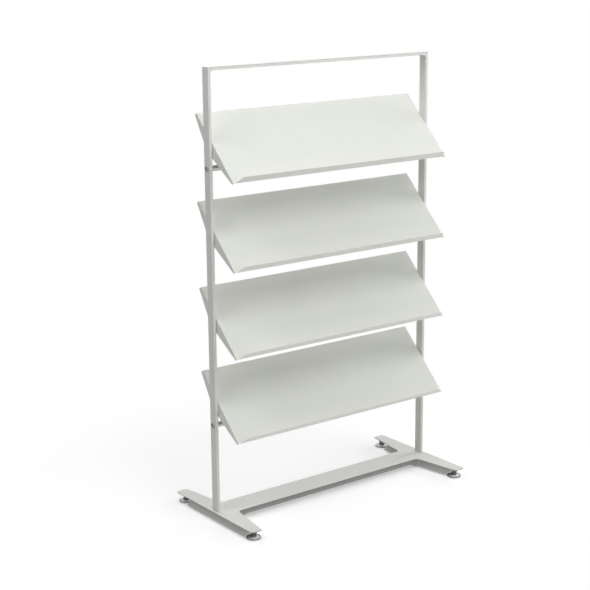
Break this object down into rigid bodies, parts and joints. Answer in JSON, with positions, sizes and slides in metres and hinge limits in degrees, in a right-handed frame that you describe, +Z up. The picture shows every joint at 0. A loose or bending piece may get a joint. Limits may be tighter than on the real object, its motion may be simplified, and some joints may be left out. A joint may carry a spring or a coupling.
{
  "type": "periodical display rack",
  "caption": "Free-standing steel rack with sloping lipped trays for periodicals, tilting between two slim posts on an H-shaped base with levelling feet.",
  "frame": {"origin": "on the floor, at the centre of the base", "axes": "+Z up, +X along the trays to the right, +Y to the back"},
  "size_m": [1.061, 0.5134, 1.7],
  "materials": {
    "painted_steel": "matt powder coat",
    "tray_steel": "matt powder coat",
    "chrome": "bright plated",
    "bolt_steel": "satin nickel",
    "zinc_steel": "zinc plated",
    "washer_plastic": "matt",
    "dark_plastic": "matt",
    "glide_rubber": "matt"
  },
  "bodies": {
    "frame": {"base": "painted_steel", "front_foot_nuts": "zinc_steel", "left_backing_plate": "zinc_steel", "left_corner_gusset": "painted_steel", "left_post": "painted_steel", "left_post_end_plug": "zinc_steel", "left_post_screws": "zinc_steel", "lower_rod_bolts": "bolt_steel", "lower_rod_end_plugs": "zinc_steel", "lower_tie_rod": "chrome", "rear_foot_nuts": "zinc_steel", "right_backing_plate": "zinc_steel", "right_corner_gusset": "painted_steel", "right_post": "painted_steel", "right_post_end_plug": "zinc_steel", "right_post_screws": "zinc_steel", "top_bar": "painted_steel", "tray_1_pivot_screws": "zinc_steel", "tray_1_post_inserts": "zinc_steel", "tray_1_spacers": "washer_plastic", "tray_2_pivot_screws": "zinc_steel", "tray_2_post_inserts": "zinc_steel", "tray_2_spacers": "washer_plastic", "tray_3_pivot_screws": "zinc_steel", "tray_3_post_inserts": "zinc_steel", "tray_3_spacers": "washer_plastic", "tray_4_pivot_screws": "zinc_steel", "tray_4_post_inserts": "zinc_steel", "tray_4_spacers": "washer_plastic", "upper_rod_bolts": "bolt_steel", "upper_rod_end_plugs": "zinc_steel", "upper_tie_rod": "chrome"},
    "tray_1": {"tray_1": "tray_steel"},
    "tray_2": {"tray_2": "tray_steel"},
    "tray_3": {"tray_3": "tray_steel"},
    "tray_4": {"tray_4": "tray_steel"},
    "foot_front_left": {"foot_pad_front_left": "chrome", "foot_collar_front_left": "dark_plastic", "foot_glide_front_left": "glide_rubber"},
    "stem_front_left": {"foot_stem_front_left": "zinc_steel"},
    "foot_front_right": {"foot_pad_front_right": "chrome", "foot_collar_front_right": "dark_plastic", "foot_glide_front_right": "glide_rubber"},
    "stem_front_right": {"foot_stem_front_right": "zinc_steel"},
    "foot_rear_left": {"foot_pad_rear_left": "chrome", "foot_collar_rear_left": "dark_plastic", "foot_glide_rear_left": "glide_rubber"},
    "stem_rear_left": {"foot_stem_rear_left": "zinc_steel"},
    "foot_rear_right": {"foot_pad_rear_right": "chrome", "foot_collar_rear_right": "dark_plastic", "foot_glide_rear_right": "glide_rubber"},
    "stem_rear_right": {"foot_stem_rear_right": "zinc_steel"}
  },
  "joints": [
    {"name": "tray_1_tilt", "type": "hinge", "parent": "frame", "child": "tray_1", "pos_m": [0, 0, 1.407], "axis": [1, 0, 0], "range_deg": [-45, 15]},
    {"name": "tray_2_tilt", "type": "hinge", "parent": "frame", "child": "tray_2", "pos_m": [0, 0, 1.086], "axis": [1, 0, 0], "range_deg": [-45, 15]},
    {"name": "tray_3_tilt", "type": "hinge", "parent": "frame", "child": "tray_3", "pos_m": [0, 0, 0.765], "axis": [1, 0, 0], "range_deg": [-45, 15]},
    {"name": "tray_4_tilt", "type": "hinge", "parent": "frame", "child": "tray_4", "pos_m": [0, 0, 0.444], "axis": [1, 0, 0], "range_deg": [-45, 15]},
    {"name": "foot_front_left_height", "type": "slide", "parent": "frame", "child": "foot_front_left", "axis": [0, 0, -1], "range_m": [-0.001, 0.008]},
    {"name": "stem_front_left_turn", "type": "hinge", "parent": "foot_front_left", "child": "stem_front_left", "pos_m": [-0.5016, -0.2264, 0.02], "axis": [0, 0, -1], "range_deg": [-206, 1646]},
    {"name": "foot_front_right_height", "type": "slide", "parent": "frame", "child": "foot_front_right", "axis": [0, 0, -1], "range_m": [-0.001, 0.008]},
    {"name": "stem_front_right_turn", "type": "hinge", "parent": "foot_front_right", "child": "stem_front_right", "pos_m": [0.5016, -0.2264, 0.02], "axis": [0, 0, -1], "range_deg": [-206, 1646]},
    {"name": "foot_rear_left_height", "type": "slide", "parent": "frame", "child": "foot_rear_left", "axis": [0, 0, -1], "range_m": [-0.001, 0.008]},
    {"name": "stem_rear_left_turn", "type": "hinge", "parent": "foot_rear_left", "child": "stem_rear_left", "pos_m": [-0.5016, 0.2264, 0.02], "axis": [0, 0, -1], "range_deg": [-206, 1646]},
    {"name": "foot_rear_right_height", "type": "slide", "parent": "frame", "child": "foot_rear_right", "axis": [0, 0, -1], "range_m": [-0.001, 0.008]},
    {"name": "stem_rear_right_turn", "type": "hinge", "parent": "foot_rear_right", "child": "stem_rear_right", "pos_m": [0.5016, 0.2264, 0.02], "axis": [0, 0, -1], "range_deg": [-206, 1646]}
  ],
  "couplings": [
    {"joint": "stem_front_left_turn", "follows": "foot_front_left_height", "rad_per_m": 3590.4},
    {"joint": "stem_front_right_turn", "follows": "foot_front_right_height", "rad_per_m": 3590.4},
    {"joint": "stem_rear_left_turn", "follows": "foot_rear_left_height", "rad_per_m": 3590.4},
    {"joint": "stem_rear_right_turn", "follows": "foot_rear_right_height", "rad_per_m": 3590.4}
  ]
}
